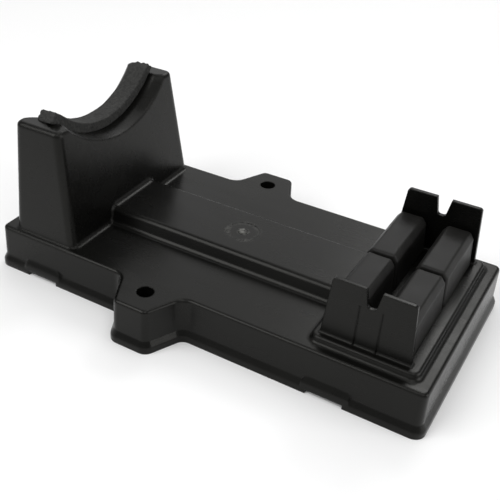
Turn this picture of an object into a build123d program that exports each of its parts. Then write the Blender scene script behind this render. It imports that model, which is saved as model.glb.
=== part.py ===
"""Pump motor mounting base: a hollow moulded tray with a saddle tower for the motor's
barrel, two slotted clamp ears, and rubber support pads between the ears.

Millimetres, +Z up. The origin is the middle of the footprint, on the surface it stands on.
+X runs from the saddle tower towards the pads. The object is symmetric about Y = 0.
"""
import os
from math import cos, radians, sin, sqrt, tan
from build123d import *

os.makedirs("parts", exist_ok=True)

# Tray: a flat deck with drafted walls, open underneath
deck_length = 341.4
deck_width = 164.6
deck_height = 34.8
deck_corner_radius = 4.5
deck_edge_radius = 2.4
wall = 3.0
wall_draft = 2.0                    # degrees

# Foot flange around the bottom of the walls: an upright lip, sloping in above it
flange_reach = 3.4                  # beyond the deck's outline
lip_height = 4.6
lip_edge_radius = 3.0
flange_slope = 27.0                 # degrees from upright
flange_slope_height = 6.0
relief_length = 26.5                # notches under the long sides
relief_height = 3.2
relief_lip = 4.0                    # raised flange on each side of a notch
relief_rise = 3.6                   # how much higher the flange is over a notch
relief_places = [-131.0, 107.2]

# Bolt tabs on both long sides
tab_x = -30.0
tab_reach = 28.0                    # beyond the deck's edge
tab_tip_half = 13.1
tab_root_half = 26.2
tab_tip_radius = 5.0
tab_root_radius = 11.0
bolt_hole_radius = 6.25
bolt_y = 90.5
boss_radius = 10.5

# Saddle tower
tower_back_x = -159.6
tower_front_x = -103.8
tower_half_width = 78.5
tower_top_back_x = -155.8
tower_top_front_x = -115.8
tower_top_half_width = 71.8
tower_height = 122.5
tower_corner_radius = 5.5
tower_rim_radius = 3.5
tower_root_radius = 1.3             # where the tower grows out of the deck
tower_cove_radius = 3.8             # the larger cove along the foot of its inner face
tower_cove_half = 74.0              # half its length on the deck
spine_cove_half = 24.0              # half its length on top of the spine

# Saddle: a trough along X for a motor's barrel, its two rims flared open
seat_radius = 79.3
seat_axis_z = 177.35
seat_floor = 6.0                    # thickness under the trough, which its rims flare into
horn_edge_radius = 3.0
front_rim = ((-122.5, 79.3, 177.35), (-111.2, 96.5, 194.15))    # x, radius, axis height
back_rim = ((-146.5, 79.3, 177.35), (-151.0, 81.5, 177.35), (-158.2, 91.4, 177.35))

# Cushion strip stuck in the saddle
strip_back_x = -144.4
strip_width = 16.0
strip_thickness = 7.7
strip_half_angle = 49.7             # degrees each side of its middle
strip_turn = 0.5                    # degrees that its middle lies round towards the back

# Raised spine from the tower to the pads
spine_height = 11.1
spine_top_half = 27.0
spine_base_half = 31.4
spine_end_x = 90.0
spine_edge_radius = 4.4
spine_root_radius = 4.4
spine_sunk = 12.0                   # how far its end runs into the tower

# Low plinth under the clamp ears and pads
plinth_x = 124.2
plinth_half_length = 37.2
plinth_half_width = 74.2
plinth_height = 5.0
plinth_corner_radius = 6.0
plinth_draft = 10.0                 # degrees
plinth_edge_radius = 2.2
plinth_root_radius = 3.2

# Clamp ears: upright plates with a slot open at the top
ear_x = 122.9
ear_outer_y = 67.9
ear_thickness = 3.0
ear_top_z = 84.8
ear_top_half = 27.2
ear_foot_half = 31.1
ear_corner_radius = 2.4
ear_root_radius = 1.8
slot_top_half = 5.3
slot_foot_half = 2.8
slot_bottom_z = 71.0
slot_corner_radius = 2.4
witness_half = 7.6                  # fine grooves down the outer face, each side of the slot
witness_width = 0.9
witness_depth = 0.5

# Four loaf-shaped rubber pads
pads_x = 121.1
pad_pitch = 35.0                    # between the middles of the inner and outer pads
pad_gap_y = 3.6
pad_length = 60.8
pad_top_z = 67.4
pad_top_half = 7.9
pad_shoulder_half = 11.4
pad_shoulder_drop = 4.8
pad_foot_half = 13.3
pad_edge_radius = 2.8
pad_foot_chamfer = 0.8

# Gate mark on the spine
gate_x = -3.6
gate_ring_radius = 12.4
gate_ring_depth = 0.2
gate_nub_radius = 3.4
gate_nub_height = 0.6
gate_nub_draft = 20.0               # degrees

# Stiffening ribs across the underside
rib_thickness = 2.4
rib_depth = 9.0
rib_places = [-68.0, 50.0]
rib_y = 43.4

spine_top_z = deck_height + spine_height
plinth_top_z = deck_height + plinth_height
under_deck_z = deck_height - wall


def tray_outline(grow):
    """The deck's outline with both bolt tabs, offset outwards by grow."""
    half_width = deck_width / 2 + grow
    tip_y = deck_width / 2 + tab_reach + grow
    lean = (tab_root_half - tab_tip_half) / tab_reach
    spread = grow * (sqrt(1 + lean * lean) - lean)
    tip_half = tab_tip_half + spread
    root_half = tab_root_half + spread
    sunk = 2.0                      # how far the tab's foot runs into the deck
    with BuildSketch() as outline:
        Rectangle(deck_length + 2 * grow, 2 * half_width)
        fillet(outline.vertices(), deck_corner_radius + grow)
        for side in (-1, 1):
            with BuildLine():
                Polyline(
                    (tab_x - root_half - sunk * lean, side * (half_width - sunk)),
                    (tab_x - tip_half, side * tip_y),
                    (tab_x + tip_half, side * tip_y),
                    (tab_x + root_half + sunk * lean, side * (half_width - sunk)),
                    close=True,
                )
            make_face()
        tips = outline.vertices().filter_by(lambda v: abs(abs(v.Y) - tip_y) < 0.01)
        fillet(tips, tab_tip_radius + grow)
        roots = outline.vertices().filter_by(
            lambda v: abs(abs(v.Y) - half_width) < 0.01 and abs(v.X - tab_x) < deck_length / 8
        )
        fillet(roots, tab_root_radius - grow)
    return outline.sketch


def flange_ring(rise):
    """The foot flange, its upright lip made higher by rise."""
    lip_top_z = lip_height + rise
    with BuildPart() as ring:
        with BuildSketch(Plane.XY.offset(lip_top_z)):
            add(tray_outline(flange_reach))
        extrude(amount=flange_slope_height, taper=flange_slope)
        with BuildSketch():
            add(tray_outline(flange_reach))
        extrude(amount=lip_top_z)
        fillet(ring.edges().filter_by(at_height(lip_top_z)), lip_edge_radius)
    return ring.part


def tower_block(inset):
    """The tapered tower, with its side walls moved in by inset."""
    corner = tower_corner_radius - inset / 2
    levels = (
        (deck_height, tower_back_x, tower_front_x, tower_half_width),
        (tower_height, tower_top_back_x, tower_top_front_x, tower_top_half_width),
    )
    with BuildPart() as block:
        for z, back_x, front_x, half_width in levels:
            with BuildSketch(Plane.XY.offset(z)):
                with Locations(((back_x + front_x) / 2, 0)):
                    RectangleRounded(
                        front_x - back_x - 2 * inset, 2 * (half_width - inset), corner
                    )
        loft()
    return block.part


def raised_flange(relief_x):
    """The stretches of higher flange over the two notches at relief_x, eased at their ends."""
    top_z = lip_height + relief_rise + flange_slope_height
    with BuildPart() as stretch:
        with BuildSketch(Plane.XZ.offset(-deck_width)) as arch:
            with Locations((relief_x, 0)):
                Rectangle(
                    relief_length + 2 * relief_lip, top_z, align=(Align.CENTER, Align.MIN)
                )
            fillet(arch.vertices().group_by(Axis.Y)[-1], top_z / 2)
        extrude(amount=2 * deck_width)
        add(flange_ring(relief_rise), mode=Mode.INTERSECT)
    return stretch.part


def saddle_profile(radius, axis_z):
    """Everything above the saddle, seen along X: a round trough, eased over the horns."""
    half_width = tower_half_width + 20
    with BuildSketch() as profile:
        with Locations((0, axis_z)):
            Circle(radius)
        with Locations((0, tower_height)):
            Rectangle(2 * half_width, 2 * half_width, align=(Align.CENTER, Align.MIN))
        horns = profile.vertices().filter_by(
            lambda v: abs(v.Y - tower_height) < 0.01 and abs(v.X) < tower_half_width
        )
        fillet(horns, horn_edge_radius)
    return profile.sketch


def saddle_cutter(back_x, front_x, lower=0.0):
    """The space over the saddle, or over the hollow that lies lower beneath it."""
    with BuildPart() as cutter:
        with BuildSketch(Plane.YZ.offset(back_x)):
            add(saddle_profile(seat_radius + lower, seat_axis_z))
        extrude(amount=front_x - back_x)
    return cutter.part


def rim_cutter(sections):
    """A bell mouth through a list of (x, radius, axis height) sections."""
    with BuildPart() as cutter:
        for x, radius, axis_z in sections:
            with BuildSketch(Plane.YZ.offset(x)):
                add(saddle_profile(radius, axis_z))
        loft()
    return cutter.part


def tower_hollow():
    """The hollow inside the tower, open downwards through the deck."""
    with BuildPart() as hollow:
        add(tower_block(wall))
        with BuildSketch(Plane.XY.offset(deck_height)):
            with Locations(((tower_back_x + tower_front_x) / 2, 0)):
                RectangleRounded(
                    tower_front_x - tower_back_x - 2 * wall,
                    2 * (tower_half_width - wall),
                    tower_corner_radius - wall / 2,
                )
        extrude(amount=-wall - 1)
        split(bisect_by=Plane.XY.offset(tower_height - wall), keep=Keep.BOTTOM)
        add(saddle_cutter(tower_back_x - 1, tower_front_x + 1, seat_floor), mode=Mode.SUBTRACT)
    return hollow.part


def spine_block(inset, start_x, end_x):
    """The raised spine, with its top and walls moved in by inset."""
    foot_half = spine_base_half - inset
    top_half = spine_top_half - inset
    with BuildPart() as block:
        with BuildSketch(Plane.YZ.offset(start_x)):
            with BuildLine():
                Polyline(
                    (-foot_half, under_deck_z),
                    (-foot_half, deck_height),
                    (-top_half, spine_top_z - inset),
                    (top_half, spine_top_z - inset),
                    (foot_half, deck_height),
                    (foot_half, under_deck_z),
                    close=True,
                )
            make_face()
        extrude(amount=end_x - start_x)
    return block.part


def tower_cove(z, half_length):
    """A cove along Y between the tower's inner face and the flat surface at height z."""
    lean = (tower_front_x - tower_top_front_x) / (tower_height - deck_height)
    face = Vector(-lean, 1).normalized()
    foot = Vector(tower_front_x - lean * (z - deck_height), z)
    opening = radians(Vector(1, 0).get_angle(face))
    reach = tower_cove_radius / tan(opening / 2)
    on_face = foot + face * reach
    on_flat = foot + Vector(reach, 0)
    sunk = 1.0                      # how far it runs into the deck
    back_x = foot.X - 3.0           # where it ends inside the tower
    with BuildPart() as cove:
        with BuildSketch(Plane.XZ.offset(-half_length)):
            with BuildLine():
                TangentArc((on_flat.X, on_flat.Y), (on_face.X, on_face.Y), tangent=(-1, 0))
                Polyline(
                    (on_face.X, on_face.Y),
                    (back_x, on_face.Y),
                    (back_x, z - sunk),
                    (on_flat.X, z - sunk),
                    (on_flat.X, on_flat.Y),
                )
            make_face()
        extrude(amount=2 * half_length)
    return cove.part


def plinth_block():
    """The low plinth, its rim already rounded."""
    with BuildPart() as block:
        with BuildSketch(Plane.XY.offset(deck_height)):
            with Locations((plinth_x, 0)):
                RectangleRounded(
                    2 * plinth_half_length, 2 * plinth_half_width, plinth_corner_radius
                )
        extrude(amount=plinth_height, taper=plinth_draft)
        fillet(block.faces().sort_by(Axis.Z)[-1].edges(), plinth_edge_radius)
    return block.part


def ear_plate(side):
    """One clamp ear with its slot; side is -1 in front and +1 at the back."""
    sunk = 1.0                      # how far its foot runs into the plinth
    with BuildPart() as ear:
        with BuildSketch(Plane.XZ.offset(-side * ear_outer_y)) as profile:
            with BuildLine():
                Polyline(
                    (ear_x - ear_foot_half, plinth_top_z - sunk),
                    (ear_x - ear_top_half, ear_top_z),
                    (ear_x + ear_top_half, ear_top_z),
                    (ear_x + ear_foot_half, plinth_top_z - sunk),
                    close=True,
                )
            make_face()
            fillet(profile.vertices().group_by(Axis.Y)[-1], ear_corner_radius)
            with BuildLine():
                Polyline(
                    (ear_x - slot_foot_half, slot_bottom_z),
                    (ear_x - slot_top_half, ear_top_z),
                    (ear_x + slot_top_half, ear_top_z),
                    (ear_x + slot_foot_half, slot_bottom_z),
                    close=True,
                )
            make_face(mode=Mode.SUBTRACT)
            slot_foot = profile.vertices().filter_by(lambda v: abs(v.Y - slot_bottom_z) < 0.01)
            fillet(slot_foot, slot_corner_radius)
        extrude(amount=side * ear_thickness)
    return ear.part


def within(low, high):
    """A filter for edges that lie wholly inside the box from low to high."""
    def inside(edge):
        box = edge.bounding_box()
        above = all(b >= a - 0.05 for a, b in zip(low, tuple(box.min)))
        below = all(b <= a + 0.05 for a, b in zip(high, tuple(box.max)))
        return above and below
    return inside


def at_height(z):
    """A filter for edges that lie flat at height z."""
    def flat(edge):
        box = edge.bounding_box()
        return abs(box.min.Z - z) < 0.01 and abs(box.max.Z - z) < 0.01
    return flat


# ---------------------------------------------------------------- base moulding
with BuildPart() as base_moulding:
    # tray, tower, spine and plinth, still solid
    with BuildSketch(Plane.XY.offset(deck_height)):
        add(tray_outline(0))
    extrude(amount=-deck_height, taper=-wall_draft)
    add(tower_block(0))
    add(spine_block(0, tower_front_x - spine_sunk, spine_end_x))
    add(plinth_block())

    # rounded edges, and rounded roots where things grow out of the deck
    spine_rim = base_moulding.edges().filter_by(Axis.X).filter_by(
        within((tower_top_front_x, -spine_top_half, spine_top_z),
               (ear_x, spine_top_half, spine_top_z))
    )
    fillet(spine_rim, spine_edge_radius)
    spine_root = base_moulding.edges().filter_by(Axis.X).filter_by(
        within((tower_front_x, -spine_base_half, deck_height),
               (spine_end_x, spine_base_half, deck_height))
    )
    fillet(spine_root, spine_root_radius)
    tower_root = base_moulding.edges().filter_by(
        within((tower_back_x, -tower_half_width, deck_height),
               (tower_front_x, tower_half_width, spine_top_z))
    )
    fillet(tower_root, tower_root_radius)
    plinth_root = base_moulding.edges().filter_by(
        within((plinth_x - plinth_half_length, -plinth_half_width, deck_height),
               (plinth_x + plinth_half_length, plinth_half_width, deck_height))
    )
    fillet(plinth_root, plinth_root_radius)
    deck_rim = base_moulding.edges().filter_by(at_height(deck_height)).filter_by(
        lambda e: abs(e.center().X) > deck_length / 2 - deck_corner_radius
        or abs(e.center().Y) > deck_width / 2 - 0.1
    )
    fillet(deck_rim, deck_edge_radius)
    tower_rim = base_moulding.edges().filter_by(
        within((tower_back_x, -tower_top_half_width, tower_height),
               (tower_top_front_x, tower_top_half_width, tower_height))
    )
    fillet(tower_rim, tower_rim_radius)

    # larger coves along the tower's inner face, on the deck and on the spine
    add(tower_cove(deck_height, tower_cove_half))
    add(tower_cove(spine_top_z, spine_cove_half))

    # foot flange, raised over the relief notches
    add(flange_ring(0))
    for relief_x in relief_places:
        add(raised_flange(relief_x))

    # saddle trough with flared rims
    add(saddle_cutter(tower_back_x - 1, tower_front_x + 1), mode=Mode.SUBTRACT)
    add(rim_cutter(front_rim), mode=Mode.SUBTRACT)
    add(rim_cutter(back_rim), mode=Mode.SUBTRACT)

    # the hollow inside the tray, then inside the tower, spine and plinth
    with BuildSketch(Plane.XY.offset(under_deck_z)):
        add(tray_outline(-wall))
    extrude(amount=-under_deck_z - 1, taper=-wall_draft, mode=Mode.SUBTRACT)
    add(tower_hollow(), mode=Mode.SUBTRACT)
    add(
        spine_block(wall, tower_front_x - spine_sunk + wall, spine_end_x - wall),
        mode=Mode.SUBTRACT,
    )
    with BuildSketch(Plane.XY.offset(under_deck_z - 1)):
        with Locations((plinth_x, 0)):
            RectangleRounded(
                2 * (plinth_half_length - wall - 1),
                2 * (plinth_half_width - wall - 1),
                plinth_corner_radius - wall,
            )
    extrude(amount=plinth_height + 1, mode=Mode.SUBTRACT)

    # ribs across the underside and up into the spine, and a tube under each bolt hole
    with BuildSketch(Plane.XY.offset(under_deck_z - rib_depth)):
        for rib_x in rib_places:
            with Locations((rib_x, 0)):
                Rectangle(rib_thickness, deck_width - wall)
        with Locations((0, -rib_y), (0, rib_y)):
            Rectangle(deck_length - wall, rib_thickness)
    extrude(amount=rib_depth + 1)
    for rib_x in rib_places:
        add(spine_block(wall - 1, rib_x - rib_thickness / 2, rib_x + rib_thickness / 2))
    with BuildSketch():
        with Locations((tab_x, -bolt_y), (tab_x, bolt_y)):
            Circle(boss_radius)
    extrude(amount=under_deck_z + 1)

    # clamp ears, with two fine grooves running down from each slot
    for side in (-1, 1):
        add(ear_plate(side))
    ear_root = base_moulding.edges().filter_by(at_height(plinth_top_z)).filter_by(
        lambda e: ear_outer_y - ear_thickness - 0.1 < abs(e.center().Y) < ear_outer_y + 0.1
    )
    fillet(ear_root, ear_root_radius)
    with BuildSketch(Plane.XY.offset(plinth_top_z)):
        for side in (-1, 1):
            for edge in (-1, 1):
                with Locations((ear_x + edge * witness_half, side * ear_outer_y)):
                    Rectangle(witness_width, 2 * witness_depth)
    extrude(amount=slot_bottom_z - plinth_top_z, mode=Mode.SUBTRACT)

    # relief notches under the flange, and the bolt holes
    with BuildSketch():
        for relief_x in relief_places:
            with Locations((relief_x, 0)):
                Rectangle(relief_length, 2 * deck_width)
    extrude(amount=relief_height, mode=Mode.SUBTRACT)
    with BuildSketch():
        with Locations((tab_x, -bolt_y), (tab_x, bolt_y)):
            Circle(bolt_hole_radius)
    extrude(amount=deck_height, mode=Mode.SUBTRACT)

    # gate mark: a shallow ring sunk in the spine with a nub in its middle
    with BuildSketch(Plane.XY.offset(spine_top_z)):
        with Locations((gate_x, 0)):
            Circle(gate_ring_radius)
            Circle(gate_nub_radius, mode=Mode.SUBTRACT)
    extrude(amount=-gate_ring_depth, mode=Mode.SUBTRACT)
    with BuildSketch(Plane.XY.offset(spine_top_z)):
        with Locations((gate_x, 0)):
            Circle(gate_nub_radius)
    extrude(amount=gate_nub_height, taper=gate_nub_draft)

base_moulding.part.label = "base_moulding"
export_step(base_moulding.part, "parts/base_moulding.step")


# ---------------------------------------------------------------- saddle strip
with BuildPart() as saddle_strip:
    with BuildSketch(Plane.YZ.offset(strip_back_x)):
        with Locations((0, seat_axis_z)):
            Circle(seat_radius)
            Circle(seat_radius - strip_thickness, mode=Mode.SUBTRACT)
        reach = 2 * seat_radius
        front_end = radians(strip_turn - strip_half_angle)
        back_end = radians(strip_turn + strip_half_angle)
        with BuildLine():
            Polyline(
                (0, seat_axis_z),
                (reach * sin(front_end), seat_axis_z - reach * cos(front_end)),
                (reach * sin(back_end), seat_axis_z - reach * cos(back_end)),
                close=True,
            )
        make_face(mode=Mode.INTERSECT)
    extrude(amount=strip_width)

saddle_strip.part.label = "saddle_strip"
export_step(saddle_strip.part, "parts/saddle_strip.step")


# ---------------------------------------------------------------- support pads
def support_pad(side_x, side_y):
    """One rubber pad: a long drafted block with rounded shoulders and ends."""
    middle_x = pads_x + side_x * pad_pitch / 2
    shoulder_z = pad_top_z - pad_shoulder_drop
    with BuildPart() as pad:
        with BuildSketch(Plane.XZ.offset(-side_y * pad_gap_y / 2)):
            with BuildLine():
                Polyline(
                    (middle_x - pad_foot_half, plinth_top_z),
                    (middle_x - pad_shoulder_half, shoulder_z),
                    (middle_x - pad_top_half, pad_top_z),
                    (middle_x + pad_top_half, pad_top_z),
                    (middle_x + pad_shoulder_half, shoulder_z),
                    (middle_x + pad_foot_half, plinth_top_z),
                    close=True,
                )
            make_face()
        extrude(amount=-side_y * pad_length)
        foot = pad.edges().group_by(Axis.Z)[0]
        fillet(pad.edges() - foot, pad_edge_radius)
        chamfer(pad.faces().sort_by(Axis.Z)[0].edges(), pad_foot_chamfer)
    return pad.part


pad_places = {
    "pad_inner_front": (-1, -1),
    "pad_inner_back": (-1, 1),
    "pad_outer_front": (1, -1),
    "pad_outer_back": (1, 1),
}
for pad_name, (side_x, side_y) in pad_places.items():
    pad_part = support_pad(side_x, side_y)
    pad_part.label = pad_name
    export_step(pad_part, f"parts/{pad_name}.step")
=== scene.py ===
"""Looks of the pump motor mounting base: one black moulding with a rubber strip in its
saddle and four rubber pads between its ears, on a pale floor in soft light. Metres."""
from math import cos, pi, radians, sin

import bmesh
import bpy
from mathutils import Matrix, Vector, noise


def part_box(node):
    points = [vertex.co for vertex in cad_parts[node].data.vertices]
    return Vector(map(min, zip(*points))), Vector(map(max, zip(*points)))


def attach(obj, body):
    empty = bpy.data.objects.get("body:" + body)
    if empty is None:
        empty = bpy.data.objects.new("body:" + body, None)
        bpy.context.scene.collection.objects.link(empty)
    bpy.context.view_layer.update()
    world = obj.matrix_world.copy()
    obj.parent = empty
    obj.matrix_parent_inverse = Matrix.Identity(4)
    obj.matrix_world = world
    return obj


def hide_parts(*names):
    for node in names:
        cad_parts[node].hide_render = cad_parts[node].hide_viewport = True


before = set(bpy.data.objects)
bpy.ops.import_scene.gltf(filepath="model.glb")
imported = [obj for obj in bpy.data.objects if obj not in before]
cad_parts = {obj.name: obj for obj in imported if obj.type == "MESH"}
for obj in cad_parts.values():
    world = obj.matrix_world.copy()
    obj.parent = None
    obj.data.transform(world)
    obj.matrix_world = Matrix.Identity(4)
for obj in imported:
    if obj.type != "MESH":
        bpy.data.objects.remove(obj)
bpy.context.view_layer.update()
MM = 0.001
BODY = "root"


# ---------------------------------------------------------------- material helpers
def new_material(name):
    """A material, its node tree and its shader."""
    material = bpy.data.materials.new(name)
    material.use_nodes = True
    return material, material.node_tree, material.node_tree.nodes["Principled BSDF"]


def fill_socket(tree, socket, value):
    """Gives an input its value, or links it if the value is a socket."""
    if isinstance(value, bpy.types.NodeSocket):
        tree.links.new(value, socket)
    else:
        socket.default_value = value


def fill_inputs(tree, node, inputs):
    """Fills a node's inputs from a dictionary of names or numbers."""
    for key, value in inputs.items():
        fill_socket(tree, node.inputs[key], value)


def add_node(tree, kind, inputs, **settings):
    """A node with its settings and inputs filled in."""
    node = tree.nodes.new(kind)
    for key, value in settings.items():
        setattr(node, key, value)
    fill_inputs(tree, node, inputs)
    return node


def coordinates(tree, stretch=(1, 1, 1)):
    """The place on the object in metres, times stretch along each axis."""
    place = add_node(tree, "ShaderNodeTexCoord", {})
    scaled = add_node(
        tree, "ShaderNodeMapping", {"Vector": place.outputs["Object"], "Scale": stretch}
    )
    return scaled.outputs["Vector"]


def noise_field(tree, place, scale, detail=2.0, rough=0.5):
    """A noise from 0 to 1 whose features are about 1 / scale metres across."""
    field = add_node(
        tree, "ShaderNodeTexNoise",
        {"Vector": place, "Scale": scale, "Detail": detail, "Roughness": rough},
    )
    return field.outputs["Fac"]


def remap(tree, value, source, target=(0, 1)):
    """value, taken from the range source to the range target and held at both ends."""
    node = add_node(
        tree, "ShaderNodeMapRange",
        {"Value": value, "From Min": source[0], "From Max": source[1],
         "To Min": target[0], "To Max": target[1]},
    )
    return node.outputs["Result"]


def combine(tree, operation, first, second):
    """Two values put together by a math operation."""
    node = add_node(tree, "ShaderNodeMath", {0: first, 1: second}, operation=operation)
    return node.outputs["Value"]


def blend_colours(tree, amount, first, second):
    """first where amount is 0 and second where it is 1; either may be a socket."""
    node = add_node(tree, "ShaderNodeMix", {"Factor": amount}, data_type="RGBA")
    for key, value in (("A", first), ("B", second)):
        socket = [s for s in node.inputs if s.name == key and s.type == "RGBA"][0]
        fill_socket(tree, socket, value)
    return [s for s in node.outputs if s.type == "RGBA"][0]


def bump(tree, height, distance, strength, below=None):
    """A bump of that height field, laid over another normal if one is given."""
    inputs = {"Height": height, "Distance": distance, "Strength": strength}
    if below is not None:
        inputs["Normal"] = below
    return add_node(tree, "ShaderNodeBump", inputs).outputs["Normal"]


# ---------------------------------------------------------------- materials
GATE_PLACE = (-3.6 * MM, 0, 45.9 * MM)          # the moulding's gate mark, on top of the spine
GATE_MIDDLE = (2.2 * MM, 5.4 * MM)              # the pale middle fades out over these radii
GATE_RING_RISE = (9.0 * MM, 11.8 * MM)          # and the painted highlight ring comes in over these
GATE_RING_FALL = (12.2 * MM, 15.0 * MM)         # and goes out over these
GATE_HIGHLIGHT_STRENGTH = 0.30                       # how pale the painted highlight ring is next to the middle
GATE_MARK_ROUGHNESS = 0.3                           # how much duller the gate's scuffed middle and its painted highlight ring are

TOWER_END = (-106 * MM, -100 * MM)              # where along X the tower gives way to the deck
TOWER_EDGE_RADIUS = 3.2 * MM                    # how round the small edges look on the tower
DECK_EDGE_RADIUS = 1.4 * MM                     # and everywhere else


def gate_scuffs_and_highlight(tree, place):
    """Where the moulding's gate mark is paler: a blotchy scuff in its middle, and a broken ring round it
    that is a painted highlight.
    """
    away = add_node(
        tree, "ShaderNodeVectorMath", {0: coordinates(tree), 1: GATE_PLACE}, operation="DISTANCE"
    ).outputs["Value"]
    blotches = noise_field(tree, place, scale=420, detail=4, rough=0.7)
    middle = remap(tree, away, GATE_MIDDLE, (1, 0))
    rise = remap(tree, away, GATE_RING_RISE)
    fall = remap(tree, away, GATE_RING_FALL, (1, 0))
    # the broken ring is a painted highlight, not a scuff: a paler colour where light would catch
    ring = combine(tree, "MULTIPLY", combine(tree, "MULTIPLY", rise, fall), GATE_HIGHLIGHT_STRENGTH)
    patches = remap(tree, noise_field(tree, place, scale=75), (0.45, 0.58))
    ring = combine(tree, "MULTIPLY", ring, patches)
    either = combine(tree, "MAXIMUM", middle, ring)
    return combine(tree, "MULTIPLY", either, remap(tree, blotches, (0.42, 0.62)))


def moulded_plastic():
    """Black plastic as it leaves the mould: satin, faintly clouded, with a fine grain.

    Its colour is close to black, so what shows is the light that its surface mirrors."""
    dark, pale = (0.0020, 0.0020, 0.0018, 1), (0.0030, 0.0030, 0.0026, 1)
    # the pale colour serves the gate's scuffed middle and also the painted highlight on its ring
    speck, scuffed_and_highlight = (0.010, 0.010, 0.009, 1), (0.16, 0.16, 0.15, 1)
    material, tree, shader = new_material("moulded_plastic")
    place = coordinates(tree)
    clouds = noise_field(tree, place, scale=14, detail=4)
    grain = noise_field(tree, place, scale=1900)
    sinks = noise_field(tree, place, scale=28, detail=1)
    specks = noise_field(tree, place, scale=700, detail=3, rough=0.7)
    scuffs_and_highlight = gate_scuffs_and_highlight(tree, place)
    colour = blend_colours(tree, remap(tree, clouds, (0.35, 0.7)), dark, pale)
    colour = blend_colours(tree, remap(tree, specks, (0.66, 0.74), (0, 0.5)), colour, speck)
    # paler at the gate mark: a real scuff in the middle, a painted highlight on the ring round it
    colour = blend_colours(tree, scuffs_and_highlight, colour, scuffed_and_highlight)

    flow = noise_field(tree, coordinates(tree, stretch=(6, 30, 30)), scale=3, detail=1)
    cloud_roughness = remap(tree, clouds, (0.3, 0.7), (0.22, 0.29))
    flow_roughness = remap(tree, flow, (0.4, 0.7), (0, 0.035))
    rough = combine(tree, "ADD", cloud_roughness, flow_roughness)
    rough = combine(tree, "ADD", rough, combine(tree, "MULTIPLY", scuffs_and_highlight, GATE_MARK_ROUGHNESS))

    along = add_node(tree, "ShaderNodeSeparateXYZ", {"Vector": place}).outputs["X"]
    softness = remap(tree, along, TOWER_END, (TOWER_EDGE_RADIUS, DECK_EDGE_RADIUS))
    rounded = add_node(tree, "ShaderNodeBevel", {"Radius": softness}, samples=6).outputs["Normal"]
    normal = bump(tree, sinks, distance=0.6 * MM, strength=0.15, below=rounded)
    normal = bump(tree, grain, distance=0.06 * MM, strength=0.35, below=normal)

    fill_inputs(tree, shader, {
        "Base Color": colour,
        "Roughness": rough,
        "IOR": 1.295,
        "Specular Tint": (1.0, 0.995, 0.95, 1),
        "Normal": normal,
    })
    return material


def cellular_rubber():
    """Matte dark foam rubber, its cut cells open."""
    dark, pale = (0.005, 0.005, 0.0045, 1), (0.031, 0.031, 0.029, 1)
    dusty = (0.036, 0.036, 0.033, 1)
    material, tree, shader = new_material("cellular_rubber")
    place = coordinates(tree)
    cells = add_node(
        tree, "ShaderNodeTexVoronoi", {"Vector": place, "Scale": 900}, feature="F1"
    ).outputs["Distance"]
    crumbs = noise_field(tree, place, scale=420, detail=4, rough=0.65)
    patches = noise_field(tree, place, scale=60, detail=3)
    colour = blend_colours(tree, remap(tree, crumbs, (0.3, 0.72)), dark, pale)
    colour = blend_colours(tree, remap(tree, patches, (0.5, 0.8), (0, 0.4)), colour, dusty)
    normal = bump(tree, crumbs, distance=0.5 * MM, strength=0.7)
    normal = bump(tree, cells, distance=0.25 * MM, strength=0.6, below=normal)
    fill_inputs(tree, shader, {"Base Color": colour, "Roughness": 0.85, "Normal": normal})
    return material


def pad_rubber():
    """Solid moulded rubber: a dull sheen, slightly brown, with a little bloom."""
    dark, bloomed = (0.0075, 0.0073, 0.0068, 1), (0.0125, 0.0122, 0.0113, 1)
    material, tree, shader = new_material("pad_rubber")
    place = coordinates(tree)
    bloom = noise_field(tree, place, scale=45, detail=4, rough=0.6)
    grain = noise_field(tree, place, scale=1500)
    dents = noise_field(tree, place, scale=60)
    normal = bump(tree, dents, distance=0.5 * MM, strength=0.15)
    normal = bump(tree, grain, distance=0.08 * MM, strength=0.4, below=normal)
    fill_inputs(tree, shader, {
        "Base Color": blend_colours(tree, remap(tree, bloom, (0.35, 0.7)), dark, bloomed),
        "Roughness": remap(tree, bloom, (0.3, 0.7), (0.42, 0.52)),
        "IOR": 1.27,
        "Normal": normal,
    })
    return material


# ---------------------------------------------------------------- mesh helpers
CAP_SHARES = (0.7, 0.4, 0.15)       # sizes of the rings that close an end, next to the end's own


def finish_piece(name, mesh_data, material, replaced):
    """Turns a bmesh into a smooth-shaded rubber piece that stands for a CAD node."""
    bmesh.ops.recalc_face_normals(mesh_data, faces=mesh_data.faces)
    mesh = bpy.data.meshes.new(name)
    mesh_data.to_mesh(mesh)
    mesh_data.free()
    mesh.materials.append(material)
    for polygon in mesh.polygons:
        polygon.use_smooth = True
    piece = bpy.data.objects.new(name, mesh)
    bpy.context.scene.collection.objects.link(piece)
    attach(piece, BODY)
    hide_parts(replaced)


def bridge(mesh_data, rings):
    """Quads between neighbouring closed rings of vertices."""
    for lower, upper in zip(rings, rings[1:]):
        for i, corner in enumerate(lower):
            j = (i + 1) % len(lower)
            mesh_data.faces.new((corner, lower[j], upper[j], upper[i]))


def close_ring(mesh_data, ring):
    """Closes a ring with ever smaller rings and a middle point."""
    middle = sum((v.co for v in ring), Vector()) / len(ring)
    rings = [ring]
    for share in CAP_SHARES:
        rings.append([mesh_data.verts.new(middle.lerp(v.co, share)) for v in ring])
    bridge(mesh_data, rings)
    tip = mesh_data.verts.new(middle)
    last = rings[-1]
    for i, corner in enumerate(last):
        mesh_data.faces.new((corner, last[(i + 1) % len(last)], tip))


def close_tube(mesh_data, rings):
    """Makes a closed solid of a row of rings."""
    bridge(mesh_data, rings)
    close_ring(mesh_data, rings[0])
    close_ring(mesh_data, rings[-1])


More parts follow.
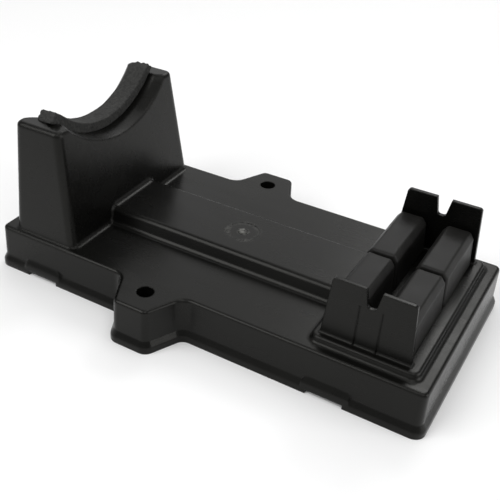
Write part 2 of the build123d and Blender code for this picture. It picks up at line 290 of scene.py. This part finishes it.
def corner_arc(corners, radii, i):
    """The centre, start and end of the arc that rounds corner i, counted round the outline."""
    i %= len(corners)
    corner = corners[i]
    before = (corners[i - 1] - corner).normalized()
    after = (corners[(i + 1) % len(corners)] - corner).normalized()
    half = before.angle(after) / 2
    reach = radii[i] / sin(half)
    centre = corner + (before + after).normalized() * reach
    start = corner + before * (reach * cos(half))
    end = corner + after * (reach * cos(half))
    return centre, start, end


def rounded_outline(corners, radii, arc_steps, run_step):
    """Points and outward normals round a convex outline whose corners are rounded."""
    points = []
    for i, radius in enumerate(radii):
        centre, start, end = corner_arc(corners, radii, i)
        first, last = (start - centre).normalized(), (end - centre).normalized()
        for k in range(arc_steps + 1):
            direction = first.slerp(last, k / arc_steps)
            points.append((centre + direction * radius, direction))
        _, run_end, _ = corner_arc(corners, radii, i + 1)
        steps = max(2, round((run_end - end).length / run_step))
        for k in range(1, steps):
            points.append((end.lerp(run_end, k / steps), last))
    return points


# ---------------------------------------------------------------- rest pads
PAD_DRAFT = 1.9 * MM                # the shoulders stand this far in from the foot
PAD_TOP_INSET = 5.4 * MM            # and the flat top this far
PAD_SHOULDER_DROP = 4.8 * MM        # the shoulders' depth below the top
PAD_FOOT_RADIUS = 0.8 * MM
PAD_SHOULDER_RADIUS = 3.0 * MM
PAD_TOP_RADIUS = 2.4 * MM
PAD_END_RADIUS = 2.2 * MM
PAD_FOOT_BAND = 1 * MM              # the lowest part keeps its height at the rounded ends
PAD_CROWN = 0.5 * MM                # the top's rise from its ends to its middle
PAD_TOP_SINK = 0.35 * MM            # and how far its ends lie below the CAD solid's top
PAD_PULL_IN = 0.15 * MM             # the sides are this hollow halfway up
PAD_WAVE = 0.18 * MM                # how wavy the faces are
PAD_WAVE_SCALE = 90                 # waves to a metre
PAD_ARC_STEPS = 6
PAD_RUN_STEP = 1.2 * MM
PAD_END_STEPS = 8
PAD_LENGTH_STEPS = 34


def pad_profile(low, high):
    """A pad's section across its length: points about its middle, and outward normals."""
    foot_half = (high.x - low.x) / 2
    levels = [                      # half width, height and radius, from the foot up
        (foot_half, low.z, PAD_FOOT_RADIUS),
        (foot_half - PAD_DRAFT, high.z - PAD_SHOULDER_DROP, PAD_SHOULDER_RADIUS),
        (foot_half - PAD_TOP_INSET, high.z, PAD_TOP_RADIUS),
    ]
    corners = [Vector((-half, z)) for half, z, _ in levels]
    corners += [Vector((half, z)) for half, z, _ in reversed(levels)]
    radii = [radius for _, _, radius in levels]
    return rounded_outline(corners, radii + radii[::-1], PAD_ARC_STEPS, PAD_RUN_STEP)


def pad_stations(low, high):
    """Places along a pad, and how far its section is drawn in at each by the rounded ends."""
    end = []
    for k in range(PAD_END_STEPS + 1):
        turn = k / PAD_END_STEPS * pi / 2
        end.append((PAD_END_RADIUS * (1 - cos(turn)), PAD_END_RADIUS * (1 - sin(turn))))
    run = high.y - low.y - 2 * PAD_END_RADIUS
    stations = [(low.y + depth, inset) for depth, inset in end]
    stations += [
        (low.y + PAD_END_RADIUS + run * k / PAD_LENGTH_STEPS, 0.0) for k in range(1, PAD_LENGTH_STEPS)
    ]
    stations += [(high.y - depth, inset) for depth, inset in reversed(end)]
    return stations


def rest_pad(node, material):
    """A moulded rubber pad: drafted sides, rounded shoulders and ends, a slightly crowned top."""
    low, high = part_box(node)
    middle_x = (low.x + high.x) / 2
    profile = pad_profile(low, high)
    mesh_data = bmesh.new()
    rings = []
    for y, inset in pad_stations(low, high):
        along = (y - low.y) / (high.y - low.y)
        crown = PAD_CROWN * (4 * along * (1 - along)) - PAD_TOP_SINK
        ring = []
        for point, normal in profile:
            up = (point.y - low.z) / (high.z - low.z)
            x = middle_x + point.x - normal.x * inset
            z = point.y
            if point.y >= low.z + PAD_FOOT_BAND:
                z -= normal.y * inset
            wave = noise.noise(Vector((x, y, z)) * PAD_WAVE_SCALE) * PAD_WAVE
            x += normal.x * (wave - PAD_PULL_IN * sin(pi * up))
            z += max(0.0, normal.y) * (crown + wave)
            ring.append(mesh_data.verts.new((x, y, max(z, low.z))))
        rings.append(ring)
    close_tube(mesh_data, rings)
    finish_piece(f"{node}_rubber", mesh_data, material, node)


# ---------------------------------------------------------------- saddle strip
# The strip is an arc about an axis along X. Angles are from straight down, + towards +Y, so
# its front end is the one at the negative angle. deep is 0 on its inner face, 1 on its outer.
STRIP_AXIS_Z = 177.35 * MM
STRIP_INNER = 71.6 * MM
STRIP_OUTER = 79.3 * MM
STRIP_FROM = radians(-49.0)
STRIP_SPAN = radians(50.0) - STRIP_FROM
STRIP_STEPS_ALONG, STRIP_STEPS_ACROSS, STRIP_STEPS_DEEP = 190, 22, 11

FRONT_CUT_REACH = radians(9)        # the front end is skewed and thinned over this much
FRONT_CUT_SKEW = radians(2.2)
FRONT_CUT_PINCH = 1.9 * MM          # its inner face sinks this much, its outer face half as much
BACK_CUT_REACH = radians(7)         # and the back end over this much
BACK_CUT_SKEW = radians(3.2)
BACK_CUT_WIDTH = 0.6                # of the strip's width that the back end's skew takes in
BACK_CUT_PINCH = 1.2 * MM           # its inner face sinks this much, its outer face not at all
HORN_ANGLE = radians(45.5)          # past this angle the underside drops onto the front horn
HORN_BLEND = radians(3.5)
HORN_DROP = 2.4 * MM

FINE_CRUMBLE, FINE_SCALE = 0.22 * MM, 900
COARSE_CRUMBLE, COARSE_SCALE = 0.25 * MM, 330
FACE_CRUMBLE = 0.8                  # how much of the crumble shows on the faces
EDGE_WANDER, EDGE_WANDER_WAVES = 0.35 * MM, 9       # how far the long edges wander, how often
EDGE_SHARPNESS = 6                  # the power that keeps edge effects near the edges
EDGE_PULL_IN = 0.2 * MM             # the long edges are drawn in this much, before they wander
EDGE_SINK = 0.5 * MM                # and those of the inner face sink this much
OUTER_FACE = 0.95                   # beyond this depth the strip is stuck down and stays smooth
TEAR, TEAR_SCALE = 1.5 * MM, 300    # how ragged the cut ends are
FINE_TEAR, FINE_TEAR_SCALE = 0.7 * MM, 900
WANDER_SLICE, TEAR_SLICE, FINE_TEAR_SLICE = 4.0, 7.0, 3.0      # where each cuts its 3-D noise


def strip_section():
    """Points round the strip's section: share of its width, and how deep."""
    across, through = STRIP_STEPS_ACROSS, STRIP_STEPS_DEEP
    loop = [(i / across, 0.0) for i in range(across)]
    loop += [(1.0, i / through) for i in range(through)]
    loop += [(1 - i / across, 1.0) for i in range(across)]
    loop += [(0.0, 1 - i / through) for i in range(through)]
    return loop


def strip_form(share, across, deep):
    """Angle, radius and nearness to a cut end of a point of the strip, before it is roughened."""
    near_front = max(0.0, 1 - share * STRIP_SPAN / FRONT_CUT_REACH)
    near_back = max(0.0, 1 - (1 - share) * STRIP_SPAN / BACK_CUT_REACH)
    angle = STRIP_FROM + STRIP_SPAN * share
    angle -= FRONT_CUT_SKEW * near_front * (across - 0.5)
    angle -= BACK_CUT_SKEW * near_back ** 2 * max(0.0, BACK_CUT_WIDTH - across)
    radius = STRIP_INNER + (STRIP_OUTER - STRIP_INNER) * deep
    radius += FRONT_CUT_PINCH * near_front ** 2 * (1 - 0.5 * deep)
    radius += BACK_CUT_PINCH * near_back ** 2 * (1 - deep)
    over_horn = min(1.0, max(0.0, (-angle - HORN_ANGLE) / HORN_BLEND))
    radius += HORN_DROP * over_horn * deep
    return angle, radius, max(near_front, near_back)


def strip_point(low, high, share, across, deep):
    """A point of the strip, with its crumbling faces, wandering edges and torn ends."""
    angle, radius, near_cut = strip_form(share, across, deep)
    x = low.x + (high.x - low.x) * across
    spot = Vector((x, radius * sin(angle), radius * cos(angle)))
    crumble = noise.noise(spot * FINE_SCALE) * FINE_CRUMBLE
    crumble += noise.noise(spot * COARSE_SCALE) * COARSE_CRUMBLE
    wander = noise.noise(Vector((share * EDGE_WANDER_WAVES, across, WANDER_SLICE))) * EDGE_WANDER
    side = (across - 0.5) * 2
    near_edge = abs(side) ** EDGE_SHARPNESS
    x += (crumble + wander - EDGE_PULL_IN) * (1 if side > 0 else -1) * near_edge
    if deep < OUTER_FACE:
        radius += crumble * FACE_CRUMBLE + EDGE_SINK * near_edge * (1 - deep)
    tear = noise.noise(Vector((x * TEAR_SCALE, radius * TEAR_SCALE, TEAR_SLICE))) * TEAR
    tear += noise.noise(Vector((x * FINE_TEAR_SCALE, radius * FINE_TEAR_SCALE, FINE_TEAR_SLICE))) * FINE_TEAR
    angle += tear / radius * near_cut ** 3
    return x, radius * sin(angle), STRIP_AXIS_Z - radius * cos(angle)


def cushion_strip(node, material):
    """The hand-cut strip of cellular rubber that lines the saddle."""
    low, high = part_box(node)
    section = strip_section()
    mesh_data = bmesh.new()
    rings = []
    for k in range(STRIP_STEPS_ALONG + 1):
        share = k / STRIP_STEPS_ALONG
        points = [strip_point(low, high, share, across, deep) for across, deep in section]
        rings.append([mesh_data.verts.new(point) for point in points])
    close_tube(mesh_data, rings)
    finish_piece("saddle_strip_foam", mesh_data, material, node)


# ---------------------------------------------------------------- stage
FLOOR_REACH = 6.0
SURROUND_STRENGTH = 0.36
SOFTBOXES = (                       # name, azimuth, elevation, distance, size, radiance
    ("back_panel", 119, 42, 2.4, 1.9, 0.72),            # mirrored by the deck and the spine
    ("front_softbox", -124, 44, 2.0, 1.3, 3.7),         # by the rounded edges that face -Y
    ("camera_side_softbox", -52, 54, 2.0, 0.9, 2.6),    # by the flare above the tower's inner face
    ("right_softbox", 91, 43, 2.0, 0.6, 4.6),           # by the coves at the tower's foot
    ("overhead_softbox", 70, 78, 2.2, 1.0, 2.0),        # soft light from above
    ("low_right_softbox", 38, 8, 2.0, 0.45, 1.2),       # by the pads' shoulders
    ("side_softbox", 8, 20, 2.0, 1.2, 2.8),             # by the ridge below the flare
)
CAMERA_PLACE = (0.23196, -0.45607, 0.37567)
CAMERA_AZIMUTH, CAMERA_ELEVATION, CAMERA_ROLL = radians(30.63), radians(35.49), radians(1.97)
CAMERA_LENS, CAMERA_SENSOR = 58.32, 36          # millimetres
CAMERA_SHIFT = (0.0951, 0.0371)


def add_floor():
    """A wide pale floor."""
    mesh = bpy.data.meshes.new("floor")
    corners = [(x * FLOOR_REACH, y * FLOOR_REACH, 0) for x, y in ((-1, -1), (1, -1), (1, 1), (-1, 1))]
    mesh.from_pydata(corners, [], [(0, 1, 2, 3)])
    material, tree, shader = new_material("floor")
    fill_inputs(tree, shader, {"Base Color": (0.92, 0.92, 0.92, 1), "Roughness": 0.9})
    mesh.materials.append(material)
    floor = bpy.data.objects.new("floor", mesh)
    bpy.context.scene.collection.objects.link(floor)


def add_softbox(name, azimuth, elevation, distance, size, radiance):
    """A square softbox aimed at the object; azimuth is turned from +X towards +Y, in degrees."""
    turn, lift = radians(azimuth), radians(elevation)
    place = Vector((cos(lift) * cos(turn), cos(lift) * sin(turn), sin(lift))) * distance
    data = bpy.data.lights.new(name, "AREA")
    data.size = size
    data.energy = radiance * pi * size * size
    light = bpy.data.objects.new(name, data)
    light.location = place
    light.rotation_mode = "QUATERNION"
    light.rotation_quaternion = (-place).to_track_quat("-Z", "Y")
    bpy.context.scene.collection.objects.link(light)


def add_lights():
    """A dim surround, and softboxes placed where the glossy surfaces mirror them to the camera."""
    world = bpy.data.worlds.new("surround")
    bpy.context.scene.world = world
    world.use_nodes = True
    fill_inputs(world.node_tree, world.node_tree.nodes["Background"], {
        "Color": (1, 1, 1, 1), "Strength": SURROUND_STRENGTH,
    })
    for softbox in SOFTBOXES:
        add_softbox(*softbox)


def add_camera():
    """A three-quarter view from above, over the corner between the front and the pads' end."""
    data = bpy.data.cameras.new("camera")
    data.sensor_width = CAMERA_SENSOR
    data.lens = CAMERA_LENS
    data.shift_x, data.shift_y = CAMERA_SHIFT
    camera = bpy.data.objects.new("camera", data)
    heading = Matrix.Rotation(CAMERA_AZIMUTH, 4, "Z")
    tilt = Matrix.Rotation(pi / 2 - CAMERA_ELEVATION, 4, "X")
    roll = Matrix.Rotation(CAMERA_ROLL, 4, "Z")
    camera.matrix_world = Matrix.Translation(CAMERA_PLACE) @ heading @ tilt @ roll
    bpy.context.scene.collection.objects.link(camera)
    bpy.context.scene.camera = camera


# ---------------------------------------------------------------- the scene
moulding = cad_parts["base_moulding"]
moulding.data.materials.clear()
moulding.data.materials.append(moulded_plastic())
rubber = pad_rubber()
for pad_node in ("pad_inner_front", "pad_inner_back", "pad_outer_front", "pad_outer_back"):
    rest_pad(pad_node, rubber)
cushion_strip("saddle_strip", cellular_rubber())
add_floor()
add_lights()
add_camera()
bpy.context.scene.view_settings.view_transform = "Standard"
